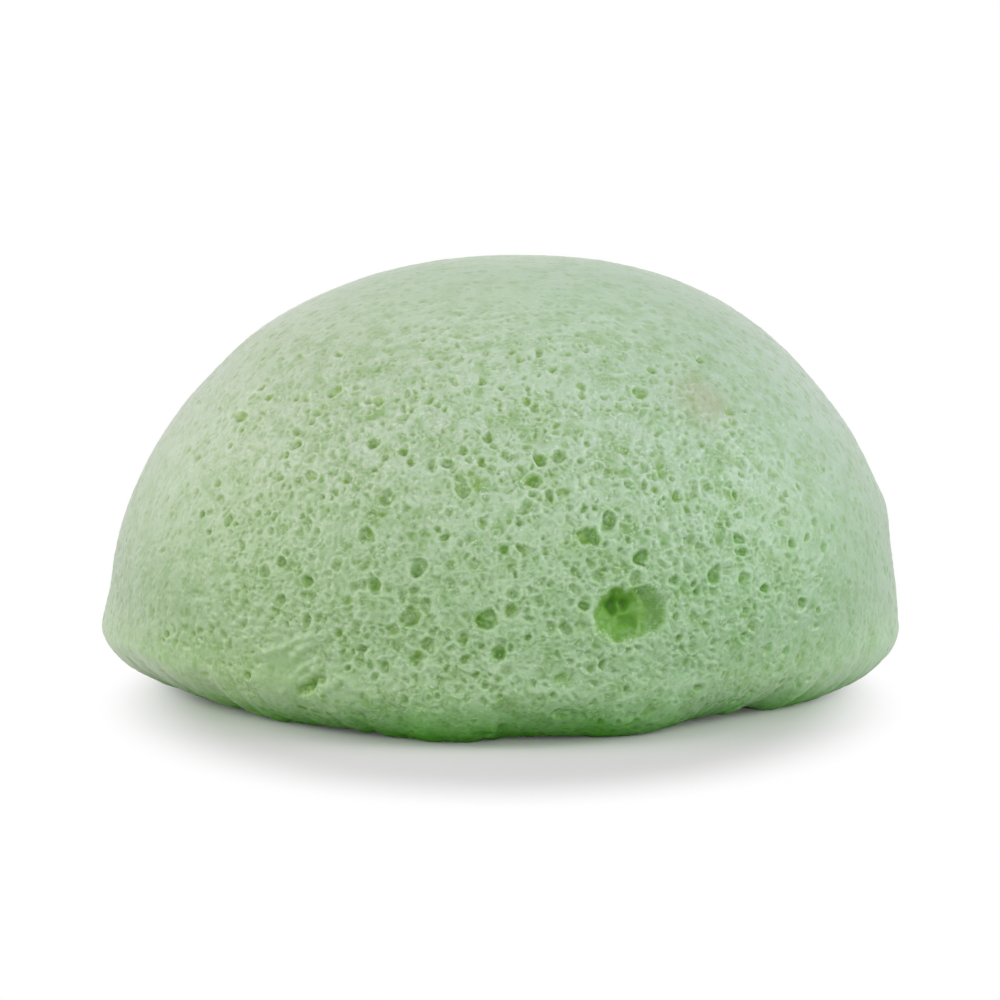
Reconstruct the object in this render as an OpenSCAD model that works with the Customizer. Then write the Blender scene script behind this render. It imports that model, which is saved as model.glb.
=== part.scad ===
// Konjac sponge: a half ball of foamed plant gel that rests on its flat face.
// Millimetres, +Z up. The origin is the middle of the resting face, and the photographed side faces -Y.

/* [Sponge] */
// Width from left to right, at its widest
sponge_w = 80; // [66:1:94]
// Depth from front to back, at its widest
sponge_d = 79; // [66:1:94]
// Height of the crown over the resting face
sponge_h = 42.4; // [36:0.2:50]
// How far the crown leans to the right
crown_lean = 1.7; // [0:0.1:4]
// Fullness of the dome: 2 is an ellipse, and more is fuller at the shoulder
dome_power = 2.17; // [1.9:0.01:2.5]
// How far the skin swells out or sinks in, at most, from the even form
skin_swell = 2.7; // [0.3:0.1:4]

/* [Edge] */
// Height of the widest line over the resting face
edge_h = 5.5; // [4:0.1:9]
// How far the skin turns in below the widest line
edge_inset = 9.8; // [5:0.1:14]
// How much of the rounded underside is cut off flat
flat_cut = 0.5; // [0.3:0.1:1]

/* [Pit] */
// Width of the large pit low on the front
pit_w = 6.4; // [4:0.1:9]
// Depth of the large pit
pit_deep = 2.4; // [1.2:0.1:3]
// Width of the hole in the floor of the large pit
hole_w = 2.4; // [1.4:0.1:3.4]

/* [Pores] */
// Width of the widest pore
pore_w = 2.4; // [1.6:0.1:3.2]
// Number of pores scattered over the skin, besides those placed by hand
pore_count = 70; // [20:1:90]

/* [Hidden] */

// How far a cut runs past what it cuts
overrun = 2;

// Facets: around the form, up the dome, down the turned-under skin, around a pit and around a pore
form_sides = 44;
dome_rings = 18;
edge_rings = 6;
pit_sides = 40;
pore_sides = 8;

full_turn = 360;
quarter_turn = 90;

// Swells of the skin: place as a share of a turn, place as a share of the height, reach as a share of a
// turn, reach as a share of the height, and amount as a share of skin_swell
swell_shares = [
    [0.50, 0.12, 0.10, 0.07,  0.35],
    [0.00, 0.45, 0.10, 0.10,  0.10],
    [0.50, 0.62, 0.16, 0.20, -0.25],
    [0.50, 0.74, 0.12, 0.07, -0.15],
    [0.00, 0.12, 0.10, 0.08,  0.10],
    [0.00, 0.78, 0.14, 0.16, -0.18],
    [0.62, 0.05, 0.07, 0.15, -0.50],
    [0.87, 0.05, 0.07, 0.15, -1.00],
    [0.75, 0.05, 0.08, 0.15,  0.30],
    [0.52, 0.00, 0.07, 0.10, -0.60],
    [0.69, 0.02, 0.03, 0.10,  0.40],
];

// How much of the lean a point takes: its share of the height to this power
lean_power = 4;

// Place of the large pit: share of a turn and share of the rise to the crown
pit_turn_share = 0.798;
pit_rise_share = 0.102;
// How far round the pit's floor the hole lies, to the left of the lowest point
hole_tilt = 33;

// Pores placed by hand on the front: share of a turn, share of the rise to the crown, share of pore_w
front_pore_shares = [
    [0.688, 0.388, 0.65], [0.709, 0.478, 0.75], [0.741, 0.405, 0.65], [0.717, 0.348, 0.65],
    [0.740, 0.358, 0.60], [0.750, 0.370, 0.65], [0.764, 0.370, 0.60], [0.773, 0.369, 0.75],
    [0.680, 0.318, 0.60], [0.695, 0.326, 0.60], [0.703, 0.292, 0.75], [0.758, 0.282, 0.75],
    [0.694, 0.224, 0.95], [0.726, 0.229, 0.60], [0.741, 0.251, 0.60], [0.768, 0.295, 0.60],
    [0.800, 0.252, 0.50], [0.792, 0.247, 0.85], [0.783, 0.225, 1.00], [0.757, 0.205, 0.65],
    [0.804, 0.189, 0.75], [0.718, 0.181, 0.60], [0.716, 0.138, 0.65], [0.754, 0.137, 0.60],
    [0.714, 0.101, 1.00], [0.743, 0.098, 1.00], [0.753, 0.108, 0.65], [0.735, 0.074, 0.65],
    [0.722, 0.062, 0.75], [0.717, 0.039, 0.85], [0.748, 0.051, 0.85], [0.774, 0.082, 0.65],
    [0.822, 0.167, 0.60], [0.850, 0.185, 0.50], [0.672, 0.147, 0.60], [0.659, 0.092, 0.50],
];

// Scattered pores: the turn from one to the next is the golden angle, so that they spread evenly
golden_turn_share = 0.381966;
pore_jitter_share = 0.035;
pore_seed = 41;
// The least pore width is this share of pore_w, to the power below, which makes small pores the common ones
least_pore_share = 0.45;
pore_power = 2;
lowest_pore_share = 0.03;
highest_pore_share = 0.93;

// Step in turn and rise over which the slope of the skin is taken
slope_step_share = 0.004;

function total(values, i = 0) = i < len(values) ? values[i] + total(values, i + 1) : 0;

// The shorter way round from a place to a turn, as a share of a turn
function turn_apart(turn, place) = turn - place - round(turn - place);

// How far the skin stands out of the even form at a share of a turn and a share of the height
function swell_out(turn, up) = skin_swell * total([
    for (s = swell_shares)
        s[4] * exp(-pow(turn_apart(turn, s[0]) / s[2], 2) - pow((up - s[1]) / s[3], 2))
]);

// Height and radius share of the outline. Rise runs from -1 under the base, over 0 at the edge, to 1 at the
// crown.
function outline_z(rise) = rise < 0
    ? edge_h - (edge_h + flat_cut) * sin(-rise * quarter_turn)
    : edge_h + (sponge_h - edge_h) * pow(sin(rise * quarter_turn), 2 / dome_power);
function outline_share(rise) = rise < 0
    ? 1 - edge_inset / (sponge_w / 2) * (1 - cos(rise * quarter_turn))
    : pow(max(0, cos(rise * quarter_turn)), 2 / dome_power);

// A point of the skin before it is fitted to the width and depth
function loose_skin(turn, rise) =
    let (
        z = outline_z(rise),
        up = max(0, z) / sponge_h,
        out = swell_out(turn, up),
        share = outline_share(rise)
    )
    [
        (sponge_w / 2 + out) * share * cos(turn * full_turn) + crown_lean * pow(up, lean_power),
        (sponge_d / 2 + out) * share * sin(turn * full_turn),
        z
    ];

// Rises of the rings, from the lowest to the highest below the crown
ring_rises = concat(
    [for (i = [edge_rings : -1 : 1]) -i / edge_rings],
    [for (i = [0 : dome_rings - 1]) i / dome_rings]
);

// The middle and the span of the rings give the fit
loose_points = [
    for (rise = ring_rises)
        for (i = [0 : form_sides - 1])
            loose_skin(i / form_sides, rise)
];
loose_xs = [for (p = loose_points) p.x];
loose_ys = [for (p = loose_points) p.y];
middle_x = (max(loose_xs) + min(loose_xs)) / 2;
middle_y = (max(loose_ys) + min(loose_ys)) / 2;
fit_w = sponge_w / (max(loose_xs) - min(loose_xs));
fit_d = sponge_d / (max(loose_ys) - min(loose_ys));

function fitted(p) = [(p.x - middle_x) * fit_w, (p.y - middle_y) * fit_d, p.z];

// A point of the finished skin
function skin(turn, rise) = fitted(loose_skin(turn, rise));

// The directions along the skin, the way the turn grows, and straight out of it
function skin_step_along(turn, rise) =
    skin(turn + slope_step_share, rise) - skin(turn - slope_step_share, rise);
function skin_step_up(turn, rise) =
    skin(turn, rise + slope_step_share) - skin(turn, rise - slope_step_share);
function unit(v) = v / norm(v);
function along(turn, rise) = unit(skin_step_along(turn, rise));
function outward(turn, rise) = unit(cross(skin_step_along(turn, rise), skin_step_up(turn, rise)));

// The closed form: rings of points, with one point under the base and one at the crown
module sponge_form() {
    ring_points = [for (p = loose_points) fitted(p)];
    base_point = [0, 0, -flat_cut];
    points = concat(ring_points, [base_point, skin(0, 1)]);
    base_index = len(ring_points);
    crown_index = base_index + 1;
    top_ring = base_index - form_sides;
    faces = concat(
        [
            for (k = [0 : len(ring_rises) - 2])
                for (i = [0 : form_sides - 1])
                    let (
                        j = (i + 1) % form_sides,
                        low = k * form_sides,
                        high = low + form_sides
                    )
                    each [[low + i, high + j, low + j], [low + i, high + i, high + j]]
        ],
        [for (i = [0 : form_sides - 1]) [base_index, i, (i + 1) % form_sides]],
        [for (i = [0 : form_sides - 1]) [crown_index, top_ring + (i + 1) % form_sides, top_ring + i]]
    );
    polyhedron(points, faces);
}

// Everything below the resting face
module below_base() {
    translate([-sponge_w / 2 - overrun, -sponge_d / 2 - overrun, -flat_cut - overrun])
        cube([sponge_w + 2 * overrun, sponge_d + 2 * overrun, flat_cut + overrun]);
}

// The large pit is a ball sunk in the skin, and the hole is a smaller ball centred on its floor
module large_pit() {
    out = outward(pit_turn_share, pit_rise_share);
    left = -along(pit_turn_share, pit_rise_share);
    ball_r = (pow(pit_w / 2, 2) + pow(pit_deep, 2)) / (2 * pit_deep);
    ball_middle = skin(pit_turn_share, pit_rise_share) + out * (ball_r - pit_deep);
    translate(ball_middle)
        sphere(r = ball_r, $fn = pit_sides);
    translate(ball_middle + (left * sin(hole_tilt) - out * cos(hole_tilt)) * ball_r)
        sphere(d = hole_w, $fn = pit_sides);
}

// An open cell of the foam, centred on the skin
module pore(turn, rise, w) {
    translate(skin(turn, rise))
        sphere(d = w, $fn = pore_sides);
}

module front_pores() {
    for (p = front_pore_shares)
        pore(p[0], p[1], pore_w * p[2]);
}

// Pores all over the dome, evenly spread by area and then shifted a little at random
module scattered_pores() {
    shifts = rands(-pore_jitter_share, pore_jitter_share, pore_count, pore_seed);
    size_shares = rands(least_pore_share, 1, pore_count, pore_seed + 1);
    for (i = [0 : pore_count - 1]) {
        height_share = (i + 1 / 2) / pore_count;
        rise = lowest_pore_share
            + (highest_pore_share - lowest_pore_share) * asin(height_share) / quarter_turn;
        pore(i * golden_turn_share + shifts[i], rise, pore_w * pow(size_shares[i], pore_power));
    }
}

module sponge_body() {
    color("#a6c99a")
        difference() {
            sponge_form();
            below_base();
            large_pit();
            front_pores();
            scattered_pores();
        }
}

sponge_body();
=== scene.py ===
"""Konjac sponge: the photographed look of a half ball of foamed konjac gel.

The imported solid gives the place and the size. The visible sponge is one closed mesh on the same form. Its
foam is nets of cells that share their walls, with wider pores and a large pit taken out, all real geometry.
"""

from __future__ import annotations

import logging
import math
from dataclasses import dataclass
from enum import Enum

import bmesh
import bpy
import numpy as np
from mathutils import Matrix, Vector
from mathutils.kdtree import KDTree

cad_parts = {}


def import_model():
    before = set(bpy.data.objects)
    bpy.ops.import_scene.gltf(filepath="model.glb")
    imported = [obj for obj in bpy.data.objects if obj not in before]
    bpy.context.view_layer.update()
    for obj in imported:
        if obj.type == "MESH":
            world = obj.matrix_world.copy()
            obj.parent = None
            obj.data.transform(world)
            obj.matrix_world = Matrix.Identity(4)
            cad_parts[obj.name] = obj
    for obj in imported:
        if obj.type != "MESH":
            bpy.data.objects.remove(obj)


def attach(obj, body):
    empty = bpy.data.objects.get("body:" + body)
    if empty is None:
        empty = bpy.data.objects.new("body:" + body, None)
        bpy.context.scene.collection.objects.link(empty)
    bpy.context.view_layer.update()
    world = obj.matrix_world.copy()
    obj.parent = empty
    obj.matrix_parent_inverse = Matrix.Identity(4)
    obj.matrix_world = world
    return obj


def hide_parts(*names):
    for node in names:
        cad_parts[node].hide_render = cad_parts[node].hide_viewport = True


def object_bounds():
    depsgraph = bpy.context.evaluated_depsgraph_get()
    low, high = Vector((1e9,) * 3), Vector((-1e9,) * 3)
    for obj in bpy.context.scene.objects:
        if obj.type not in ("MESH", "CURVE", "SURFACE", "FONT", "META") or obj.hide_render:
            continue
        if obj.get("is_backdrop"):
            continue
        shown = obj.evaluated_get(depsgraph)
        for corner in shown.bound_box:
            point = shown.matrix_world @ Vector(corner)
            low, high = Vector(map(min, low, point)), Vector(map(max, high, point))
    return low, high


LOG = logging.getLogger("konjac_sponge")

MM = 0.001
FULL_TURN = 2.0 * math.pi
QUARTER_TURN = math.pi / 2.0

# Where the middle of the back lies, as a share of a turn from +X
BACK_TURN = 0.25

# Soft noise: how many random values its table holds, and the primes that pick from it along each axis
NOISE_VALUES = 4096
NOISE_PRIMES = (73856093, 19349663, 83492791)

# Steps over which the form is measured: in turn, in rise and along its outline
TURN_STEPS = 361
RISE_STEPS = 181
OUTLINE_STEPS = 4001

# The curve of screen colours: where it turns from straight to bent, and how steep, high and bent it is
SCREEN_TURN, SCREEN_SLOPE, SCREEN_LIFT, SCREEN_POWER = 0.04045, 12.92, 0.055, 2.4

# Sockets of a node that mixes colours: the share, the two colours and the result
MIX_SHARE, MIX_FIRST, MIX_SECOND, MIX_RESULT = 0, 6, 7, 2

Socket = bpy.types.NodeSocket
Colour = tuple[float, float, float, float]


class Opening(Enum):
    """How far a cell broke open when the sponge left its mould, as a share of its full depth."""

    OPEN = 1.0
    CUPPED = 0.45
    SHUT = 0.08


def soft_step(share: np.ndarray) -> np.ndarray:
    """Bend shares from 0 to 1 so that they start and end softly."""
    return share * share * (3.0 - 2.0 * share)


@dataclass(frozen=True)
class Ease:
    """Turns one range of a value into another, eased at both ends.

    Attributes:
        low: Where the range starts.
        high: Where it ends.
        start: What its start becomes.
        end: What its end becomes.
    """

    low: float
    high: float
    start: float = 0.0
    end: float = 1.0

    def of(self, values: np.ndarray) -> np.ndarray:
        """Ease an array of values."""
        share = np.clip((values - self.low) / (self.high - self.low), 0.0, 1.0)
        return self.start + (self.end - self.start) * soft_step(share)


@dataclass(frozen=True)
class Noise:
    """Smooth random values in space.

    Attributes:
        length: The distance between two random values, in mm.
        seed: The seed of the random values.
    """

    length: float
    seed: int

    def at(self, points: np.ndarray) -> np.ndarray:
        """Give a value from -1 to 1 for each point.

        Args:
            points: The points in mm, one row each.

        Returns:
            The values.
        """
        table = np.random.default_rng(self.seed).uniform(-1.0, 1.0, NOISE_VALUES)
        places = points / self.length
        corner = np.floor(places).astype(np.int64)
        ease = soft_step(places - corner)
        total = np.zeros(len(points))
        for step in np.ndindex(2, 2, 2):
            keys = (corner + step) * NOISE_PRIMES
            key = keys[:, 0] ^ keys[:, 1] ^ keys[:, 2]
            weight = np.prod(np.where(np.array(step) == 1, ease, 1.0 - ease), axis=1)
            total += weight * table[key & (NOISE_VALUES - 1)]
        return total


@dataclass(frozen=True)
class Swell:
    """A soft bulge or hollow of the whole form.

    Attributes:
        turn: Its place round the sponge, as a share of a turn from +X.
        up: Its place as a share of the height.
        turn_reach: How far it reaches round the sponge, as a share of a turn.
        up_reach: How far it reaches up and down, as a share of the height.
        amount: How far it stands out, as a share of the largest swell.
    """

    turn: float
    up: float
    turn_reach: float
    up_reach: float
    amount: float


@dataclass(frozen=True)
class EdgeLobe:
    """A stretch of the lower edge that curls up off the table or sags outwards.

    Attributes:
        turn: Its middle, as a share of a turn from +X.
        reach: How far it reaches to each side, as a share of a turn.
        lift: How far it is lifted off the table, in mm.
        out: How far it sags outwards, in mm.
    """

    turn: float
    reach: float
    lift: float
    out: float = 0.0


@dataclass(frozen=True)
class Spot:
    """A place on the skin.

    Attributes:
        turn: How far round the sponge it lies, as a share of a turn from +X.
        rise: How far up it lies: -1 is under the base, 0 at the widest line and 1 at the crown.
    """

    turn: float
    rise: float


@dataclass(frozen=True)
class Patch(Spot):
    """A round patch of the skin.

    Attributes:
        radius: How far it reaches, in mm.
    """

    radius: float


@dataclass(frozen=True)
class Bump(Patch):
    """A small round bump or dent of the skin.

    Attributes:
        out: How far it stands out, in mm.
    """

    out: float


@dataclass(frozen=True)
class FrontPore(Patch):
    """A pore that the front of the sponge shows at a known place."""


@dataclass(frozen=True)
class PitBall(Patch):
    """One of the balls that the large pit is made of.

    Attributes:
        sunk: How far its centre lies under the skin, in mm. Below zero it lies outside.
        soft: How wide its rim is rounded, in mm.
    """

    sunk: float
    soft: float


@dataclass(frozen=True)
class Crease:
    """A fine raised line of the skin, as a fold leaves it, or the hollow beside it.

    Attributes:
        start: Where it starts.
        end: Where it ends.
        width: Half its width in mm.
        out: How far it stands out, in mm. Below zero it is a hollow.
    """

    start: Spot
    end: Spot
    width: float
    out: float


@dataclass(frozen=True)
class PoreSize:
    """One size class of pores that is scattered over the skin.

    Attributes:
        per_mm2: How many there are on a square millimetre of open foam.
        radii: The least and the largest radius in mm.
        sunk: The least and the largest depth of the centre, as shares of the radius.
        soft: How wide the rims are rounded, in mm.
        seed: The seed of their places.
    """

    per_mm2: float
    radii: tuple[float, float]
    sunk: tuple[float, float]
    soft: float
    seed: int


@dataclass(frozen=True)
class CellNet:
    """A net of cells that share their walls.

    Attributes:
        apart: The least distance between the middles of two cells, in mm.
        lead: How far the widest cell pushes its walls out, in mm.
        wall: Half the width of a wall, in mm.
        slope: How wide the slope from a wall to the floor is, in mm.
        deep: How deep an open cell is, in mm.
        open_parts: The parts of the cells that are open and cupped where the foam is fully open.
        seed: The seed of their places.
    """

    apart: float
    lead: float
    wall: float
    slope: float
    deep: float
    open_parts: tuple[float, float]
    seed: int


def bell(away: np.ndarray, reach: float, power: int = 2) -> np.ndarray:
    """Give 1 in the middle of a spot and less away from it. A higher power makes it end more sharply."""
    return np.exp(-((away / reach) ** power))


def turn_apart(turn: np.ndarray, place: float) -> np.ndarray:
    """Give the shorter way round from a place to each turn, as a share of a turn."""
    return turn - place - np.round(turn - place)


def turn_of(points: np.ndarray) -> np.ndarray:
    """Give how far round from +X each point lies, as a share of a turn."""
    return np.arctan2(points[:, 1], points[:, 0]) / FULL_TURN


def above_table(points: np.ndarray) -> np.ndarray:
    """Lift every point that lies under the table onto it."""
    points[:, 2] = np.maximum(points[:, 2], 0.0)
    return points


def point_tree(points: np.ndarray) -> KDTree:
    """Sort points in space, so that the nearest are found fast.

    Args:
        points: The points, one row each.

    Returns:
        The sorted points, each with its row's number.
    """
    tree = KDTree(len(points))
    for index, point in enumerate(points.tolist()):
        tree.insert(point, index)
    tree.balance()
    return tree


@dataclass
class SpongeForm:
    """The even form of the sponge, with its swells, in millimetres.

    Attributes:
        width: Width along X.
        depth: Depth along Y.
        height: Height of the crown.
        edge_h: Height of the widest line.
        edge_inset: How far the skin turns in below that line.
        flat_cut: How much of the rounded underside is cut off flat.
        dome_power: Fullness of the dome.
        crown_lean: How far the crown leans to +X.
        skin_swell: The largest swell.
        lean_power: How fast the lean sets in with the height.
        swells: The soft bulges and hollows.
    """

    width: float
    depth: float
    height: float
    edge_h: float = 5.5
    edge_inset: float = 9.8
    flat_cut: float = 0.5
    dome_power: float = 2.17
    crown_lean: float = 1.7
    skin_swell: float = 2.7
    lean_power: float = 4.0
    swells: tuple[Swell, ...] = (
        Swell(0.50, 0.12, 0.10, 0.07, 0.35),
        Swell(0.00, 0.45, 0.10, 0.10, 0.10),
        Swell(0.50, 0.62, 0.16, 0.20, -0.25),
        Swell(0.50, 0.74, 0.12, 0.07, -0.15),
        Swell(0.00, 0.12, 0.10, 0.08, 0.10),
        Swell(0.00, 0.78, 0.14, 0.16, -0.18),
        Swell(0.62, 0.05, 0.07, 0.15, -0.50),
        Swell(0.87, 0.05, 0.07, 0.15, -1.00),
        Swell(0.75, 0.05, 0.08, 0.15, 0.30),
        Swell(0.52, 0.00, 0.07, 0.10, -0.60),
        Swell(0.69, 0.02, 0.03, 0.10, 0.40),
    )

    def __post_init__(self) -> None:
        """Find the middle and the span that fit the form to its box."""
        turn, rise = np.meshgrid(np.linspace(0.0, 1.0, TURN_STEPS), np.linspace(-1.0, 1.0, RISE_STEPS))
        loose = self._loose(turn.ravel(), rise.ravel())
        low = loose.min(axis=0)
        high = loose.max(axis=0)
        self._middle = (low + high) / 2.0
        self._fit = np.array([self.width, self.depth]) / (high - low)[:2]

    def _loose(self, turn: np.ndarray, rise: np.ndarray) -> np.ndarray:
        """Give points of the skin before they are fitted to the box.

        Args:
            turn: Shares of a turn from +X.
            rise: From -1 under the base, over 0 at the edge, to 1 at the crown.

        Returns:
            One row per point.
        """
        bend = np.abs(rise) * QUARTER_TURN
        over = rise >= 0.0
        dome_z = self.edge_h + (self.height - self.edge_h) * np.sin(bend) ** (2.0 / self.dome_power)
        under_z = self.edge_h - (self.edge_h + self.flat_cut) * np.sin(bend)
        z = np.where(over, dome_z, under_z)
        dome_share = np.clip(np.cos(bend), 0.0, 1.0) ** (2.0 / self.dome_power)
        under_share = 1.0 - self.edge_inset / (self.width / 2.0) * (1.0 - np.cos(bend))
        share = np.where(over, dome_share, under_share)
        up = np.clip(z, 0.0, None) / self.height
        out = np.zeros(len(z))
        for swell in self.swells:
            round_fall = (turn_apart(turn, swell.turn) / swell.turn_reach) ** 2
            up_fall = ((up - swell.up) / swell.up_reach) ** 2
            out += self.skin_swell * swell.amount * np.exp(-round_fall - up_fall)
        angle = turn * FULL_TURN
        x = (self.width / 2.0 + out) * share * np.cos(angle) + self.crown_lean * up**self.lean_power
        y = (self.depth / 2.0 + out) * share * np.sin(angle)
        return np.stack([x, y, z], axis=-1)

    def skin(self, turn: np.ndarray, rise: np.ndarray) -> np.ndarray:
        """Give points of the finished skin, cut flat at the base.

        Args:
            turn: Shares of a turn from +X.
            rise: From -1 under the base, over 0 at the edge, to 1 at the crown.

        Returns:
            One row per point, in mm.
        """
        points = self._loose(turn, rise)
        points[:, :2] = (points[:, :2] - self._middle[:2]) * self._fit
        return above_table(points)

    def place(self, spot: Spot) -> np.ndarray:
        """Give one point of the finished skin, in mm."""
        return self.skin(np.array([spot.turn]), np.array([spot.rise]))[0]

    def away(self, points: np.ndarray, spot: Spot) -> np.ndarray:
        """Give how far each point lies from a place on the skin, in mm."""
        return np.linalg.norm(points - self.place(spot), axis=1)

    def base_rise(self) -> float:
        """Give the rise at which the underside is cut off flat."""
        return -math.asin(self.edge_h / (self.edge_h + self.flat_cut)) / QUARTER_TURN

    def spread(self, level: np.ndarray, base_weight: float) -> tuple[np.ndarray, np.ndarray]:
        """Spread the levels of a unit ball over the outline, evenly by area.

        Args:
            level: The ball's levels, from -1 at its bottom to 1 at its top.
            base_weight: How densely the flat base is covered, where the dome has 1.

        Returns:
            The rise of each level, and how far out on the base it lies: 1 at the base's rim and beyond.
        """
        rises = np.linspace(self.base_rise(), 1.0, OUTLINE_STEPS)
        outline = self._loose(np.full(len(rises), BACK_TURN), rises)
        radius = np.abs(outline[:, 1])
        step = np.hypot(np.diff(radius), np.diff(outline[:, 2]))
        band = math.pi * (radius[1:] + radius[:-1]) * step
        base_area = math.pi * radius[0] ** 2 * base_weight
        area = np.concatenate([[base_area], base_area + np.cumsum(band)])
        wanted = (level + 1.0) / 2.0 * area[-1]
        rise = np.interp(wanted, area, rises)
        reach = np.sqrt(np.clip(wanted / base_area, 0.0, 1.0))
        return rise, reach


@dataclass(frozen=True)
class SkinWaves:
    """The waves, bumps and dents of the skin, and the broken line at its widest place.

    Attributes:
        wave: How far the long waves go in and out, in mm.
        long_waves: The noise of the long waves.
        short_waves: The noise of the short waves.
        short_part: How high the short waves are, where the long ones have 1.
        fade: How high all waves are, by the height over the table in mm.
        line_out: How far the broken line stands out, in mm.
        line_w: Half the width of that line, in mm.
        line_breaks: The noise that breaks it.
        line_more: What is added to that noise, so that more of the line is whole.
        bumps: The bumps and dents.
    """

    wave: float = 0.3
    long_waves: Noise = Noise(7.0, 31)
    short_waves: Noise = Noise(7.0 / 2.2, 32)
    short_part: float = 0.5
    fade: Ease = Ease(3.0, 11.0, 1.0, 0.3)
    line_out: float = 0.12
    line_w: float = 0.5
    line_breaks: Noise = Noise(4.0, 33)
    line_more: float = 0.2
    bumps: tuple[Bump, ...] = (
        Bump(0.995, 0.185, 2.2, 0.25),
        Bump(0.995, 0.262, 2.0, -0.20),
    )

    def out(self, points: np.ndarray, form: SpongeForm) -> np.ndarray:
        """Say how far the skin stands out of the even form.

        Args:
            points: The points of the skin in mm.
            form: The even form.

        Returns:
            How far each point moves out, in mm.
        """
        waves = self.long_waves.at(points) + self.short_part * self.short_waves.at(points)
        out = self.wave * waves * self.fade.of(points[:, 2])
        broken = np.clip(self.line_breaks.at(points) + self.line_more, 0.0, 1.0)
        out += self.line_out * broken * bell(points[:, 2] - form.edge_h, self.line_w)
        for bump in self.bumps:
            out += bump.out * bell(form.away(points, bump), bump.radius)
        return out


@dataclass(frozen=True)
class LowerEdge:
    """The lower edge, which lifts and sags in lobes and small scallops, as soft foam lies on a table.

    Attributes:
        rim_w: How far in from the rim of the flat face it can lift, in mm.
        fade: How much of it moves, by the height over the table in mm.
        scallop: How far a small scallop lifts, in mm.
        scallops: The noise that has a scallop wherever it is near zero.
        scallop_w: How far from zero the noise still has a scallop.
        lobe_power: How sharply a lobe ends.
        least_radius: The least radius in mm that a point is moved along.
        lobes: The stretches that stray from the edge.
    """

    rim_w: float = 6.0
    fade: Ease = Ease(1.0, 7.0, 1.0, 0.0)
    scallop: float = 0.32
    scallops: Noise = Noise(3.2, 35)
    scallop_w: float = 0.45
    lobe_power: int = 6
    least_radius: float = 1.0
    lobes: tuple[EdgeLobe, ...] = (
        EdgeLobe(0.515, 0.035, 0.0, 1.1),
        EdgeLobe(0.545, 0.014, 0.30),
        EdgeLobe(0.575, 0.030, 0.25),
        EdgeLobe(0.614, 0.008, 0.40),
        EdgeLobe(0.670, 0.008, 0.20),
        EdgeLobe(0.732, 0.016, 0.0, 0.7),
        EdgeLobe(0.754, 0.007, 0.25),
        EdgeLobe(0.774, 0.015, 0.28),
        EdgeLobe(0.808, 0.016, 0.0, 0.6),
        EdgeLobe(0.846, 0.010, 0.16),
        EdgeLobe(0.882, 0.012, 0.45),
        EdgeLobe(0.960, 0.012, 0.15),
        EdgeLobe(0.060, 0.030, 0.25),
        EdgeLobe(0.170, 0.012, 0.35),
        EdgeLobe(0.240, 0.020, 0.0, 1.0),
        EdgeLobe(0.310, 0.010, 0.30),
        EdgeLobe(0.430, 0.025, 0.30),
    )

    def bend(self, points: np.ndarray, form: SpongeForm) -> np.ndarray:
        """Lift and sag the lower edge.

        Args:
            points: The points of the skin in mm.
            form: The even form.

        Returns:
            The moved points.
        """
        turn = turn_of(points)
        rim = form.skin(turn, np.full(len(turn), form.base_rise()))
        rim_radius = np.linalg.norm(rim[:, :2], axis=1)
        radius = np.maximum(np.linalg.norm(points[:, :2], axis=1), self.least_radius)
        share = Ease(0.0, 1.0).of((radius - rim_radius) / self.rim_w + 1.0)
        share = share * self.fade.of(points[:, 2])
        between = np.clip(np.abs(self.scallops.at(rim)) / self.scallop_w, 0.0, 1.0)
        lift = self.scallop * (1.0 - between) ** 2
        out = np.zeros(len(points))
        for lobe in self.lobes:
            window = bell(turn_apart(turn, lobe.turn), lobe.reach, self.lobe_power)
            lift += lobe.lift * window
            out += lobe.out * window
        moved = points.copy()
        moved[:, 2] += lift * share
        moved[:, :2] *= (1.0 + out * share / radius)[:, None]
        return moved


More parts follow.
